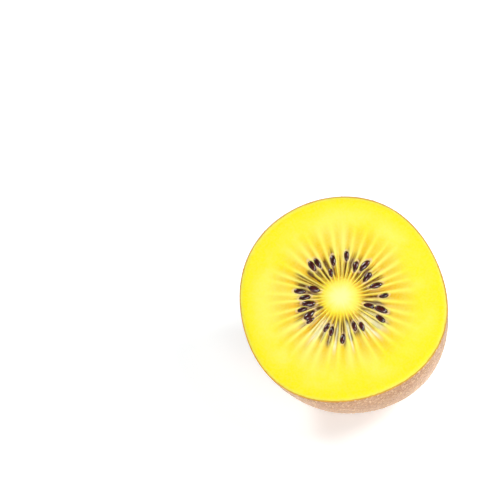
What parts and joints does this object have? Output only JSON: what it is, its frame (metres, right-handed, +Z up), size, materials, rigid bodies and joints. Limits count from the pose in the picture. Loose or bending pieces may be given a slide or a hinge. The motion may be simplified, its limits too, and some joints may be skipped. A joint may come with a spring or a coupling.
{
  "type": "golden kiwi fruit half",
  "caption": "Half of a golden kiwi fruit, cut crosswise and lying on its skin, with core, ribs and seeds on the tilted cut face.",
  "frame": {"origin": "centre of the bounding box on the surface that the fruit rests on", "axes": "+Z up; the cut face faces up and towards -Y, 31 degrees from level; the spot it rests on faces -Z"},
  "size_m": [0.0542, 0.0498, 0.0472],
  "materials": {
    "golden_flesh": null,
    "brown_skin": null,
    "black_seed": null,
    "stalk_scar": "dry and cracked"
  },
  "bodies": {
    "root": {"kiwi_half": "golden_flesh"}
  },
  "joints": []
}
